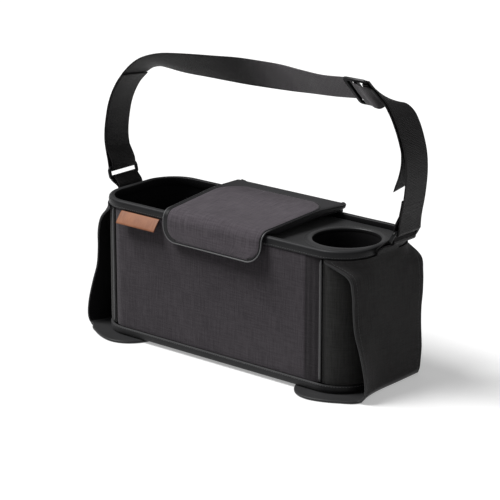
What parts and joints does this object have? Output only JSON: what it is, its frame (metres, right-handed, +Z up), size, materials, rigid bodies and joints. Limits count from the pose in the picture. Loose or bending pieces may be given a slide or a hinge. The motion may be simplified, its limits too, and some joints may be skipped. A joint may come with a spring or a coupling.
{
  "type": "stroller organizer",
  "caption": "Soft stroller organizer: stiffened tub with a hinged lid, a cup well, flared end wings that fold under as feet, and a webbing strap with a slider.",
  "frame": {"origin": "centre of the bounding box's footprint, at the floor the feet stand on", "axes": "+X along the bag towards the cup well, +Y to the back, +Z up"},
  "size_m": [0.4306, 0.164, 0.3374],
  "materials": {
    "woven": "woven matt",
    "smooth_trim": "smooth matt",
    "lining": "matt",
    "board": "matt",
    "webbing": "ribbed webbing",
    "black_metal": "black satin",
    "leather": "smooth tan",
    "magnet": "bare"
  },
  "bodies": {
    "organizer": {"front_panel": "woven", "back_panel": "woven", "end_panel_left": "woven", "end_panel_right": "woven", "bottom_panel": "woven", "wing_left": "woven", "wing_right": "woven", "rim_binding": "smooth_trim", "base_binding": "smooth_trim", "seam_piping_front_left": "smooth_trim", "seam_piping_front_right": "smooth_trim", "seam_piping_back_left": "smooth_trim", "seam_piping_back_right": "smooth_trim", "cup_deck": "smooth_trim", "lid_hinge_band": "smooth_trim", "tub": "lining", "divider_left": "lining", "divider_right": "lining", "cup_sleeve": "lining", "base_board": "board", "strap_main": "webbing", "strap_anchor": "webbing", "strap_tab_left": "webbing", "strap_tab_right": "webbing", "ring_left": "black_metal", "ring_right": "black_metal", "strap_slider": "black_metal", "leather_tag": "leather", "front_magnet_left": "magnet", "front_magnet_right": "magnet"},
    "lid": {"lid_core": "lining", "lid_inset": "woven", "lid_border": "smooth_trim", "lid_magnet_left": "magnet", "lid_magnet_right": "magnet"}
  },
  "joints": [
    {"name": "lid_hinge", "type": "hinge", "parent": "organizer", "child": "lid", "pos_m": [-0.0068, 0.0688, 0.158], "axis": [-1, 0, 0], "range_deg": [0, 115]}
  ]
}
